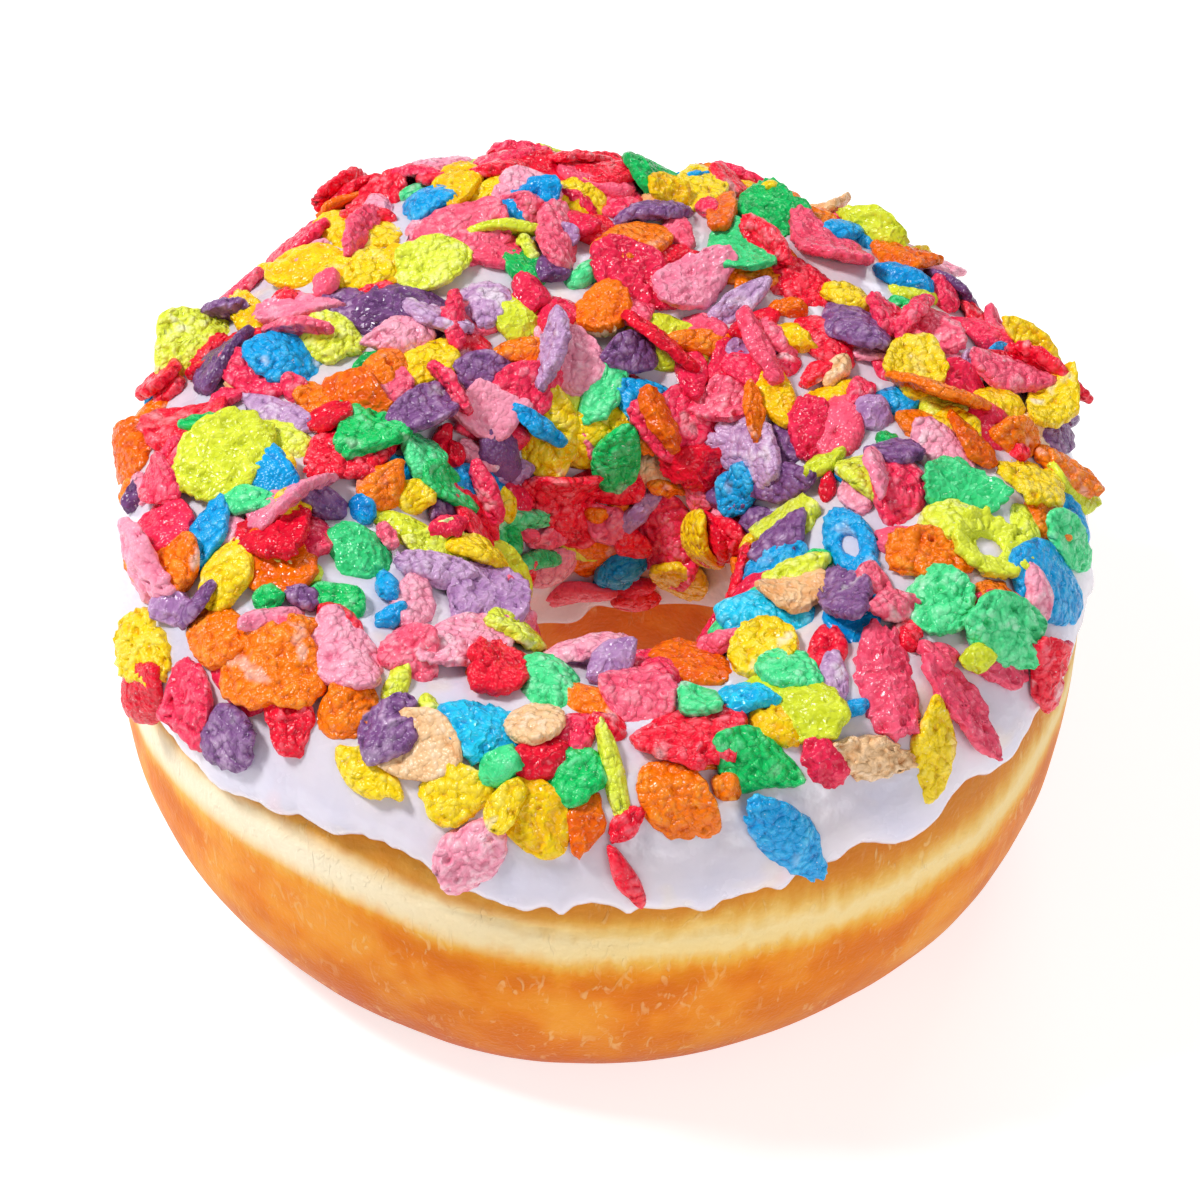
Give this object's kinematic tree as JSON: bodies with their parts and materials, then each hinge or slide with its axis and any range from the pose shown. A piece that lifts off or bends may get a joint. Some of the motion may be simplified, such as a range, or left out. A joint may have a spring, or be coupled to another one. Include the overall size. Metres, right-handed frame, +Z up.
{
  "type": "frosted doughnut with cereal flakes",
  "caption": "Raised ring doughnut, white icing over its upper half and bright crisped rice flakes heaped on the icing; rests on its flat base.",
  "frame": {"origin": "on the surface it stands on, under the centre of the whole doughnut's box", "axes": "+Z up; the side nearest the viewer faces -Y, +X to the viewer's right"},
  "size_m": [0.0921, 0.0929, 0.0459],
  "materials": {
    "baked_dough": "golden brown baked dough with a paler band round the middle",
    "white_icing": "glossy set white icing",
    "flake_crimson": "puffed cratered cereal flake, crimson",
    "flake_rose": "puffed cratered cereal flake, rose",
    "flake_blush": "puffed cratered cereal flake, blush",
    "flake_orange": "puffed cratered cereal flake, orange",
    "flake_golden": "puffed cratered cereal flake, golden",
    "flake_lemon": "puffed cratered cereal flake, lemon",
    "flake_green": "puffed cratered cereal flake, green",
    "flake_azure": "puffed cratered cereal flake, azure",
    "flake_violet": "puffed cratered cereal flake, violet",
    "flake_lilac": "puffed cratered cereal flake, lilac",
    "flake_peach": "puffed cratered cereal flake, peach"
  },
  "bodies": {
    "root": {"dough": "baked_dough", "icing": "white_icing"}
  },
  "joints": []
}
